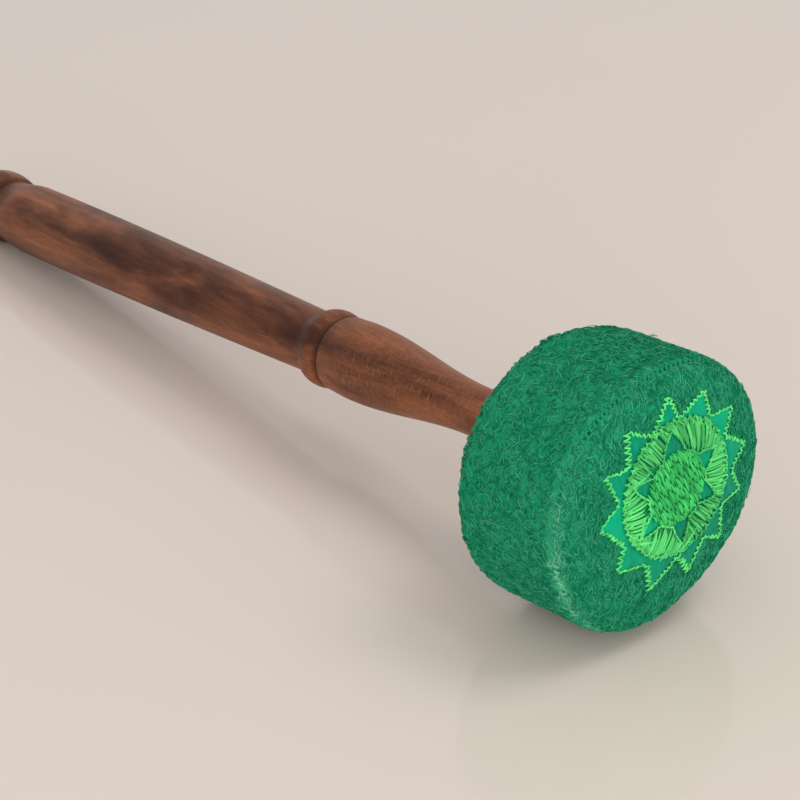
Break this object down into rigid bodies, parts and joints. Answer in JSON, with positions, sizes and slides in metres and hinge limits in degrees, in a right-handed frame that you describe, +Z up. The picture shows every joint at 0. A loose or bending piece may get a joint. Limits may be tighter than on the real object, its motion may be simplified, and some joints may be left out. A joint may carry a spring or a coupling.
{
  "type": "singing bowl mallet",
  "caption": "Turned wooden handle with a padded, felt-covered drum head whose face carries an embroidered lotus; lies on the head's rim and the pommel.",
  "frame": {"origin": "bottom centre of the mallet's box, on the surface it lies on", "axes": "+X from the pommel towards the embroidered face, +Y to the right of a person who looks at the face, +Z up from the surface"},
  "size_m": [0.321, 0.075, 0.0683],
  "materials": {
    "hardwood": "satin lacquered reddish-brown hardwood with dark streaks",
    "core_wood": "bare sawn softwood",
    "zinc_steel": "zinc-plated steel",
    "wadding": "undyed wool wadding",
    "green_felt": "thick emerald wool felt with a short fuzzy nap",
    "seam_yarn": "wool sewing yarn",
    "emerald_satin": "emerald satin cloth",
    "lime_thread": "glossy lime embroidery thread",
    "deep_lime_thread": "glossy deep lime embroidery thread"
  },
  "bodies": {
    "root": {"handle": "hardwood", "core_drum": "core_wood", "core_washer": "zinc_steel", "core_screw": "zinc_steel", "front_padding": "wadding", "side_padding": "wadding", "back_padding": "wadding", "felt_side_wall": "green_felt", "felt_front_disc": "green_felt", "felt_back_disc": "green_felt", "front_seam_thread": "seam_yarn", "back_seam_thread": "seam_yarn", "lotus_patch": "emerald_satin", "lotus_border": "lime_thread", "centre_fill": "deep_lime_thread", "ring_fill_1": "lime_thread", "ring_fill_2": "lime_thread", "ring_fill_3": "lime_thread", "ring_fill_4": "lime_thread", "ring_fill_5": "lime_thread", "ring_fill_6": "lime_thread"}
  },
  "joints": []
}
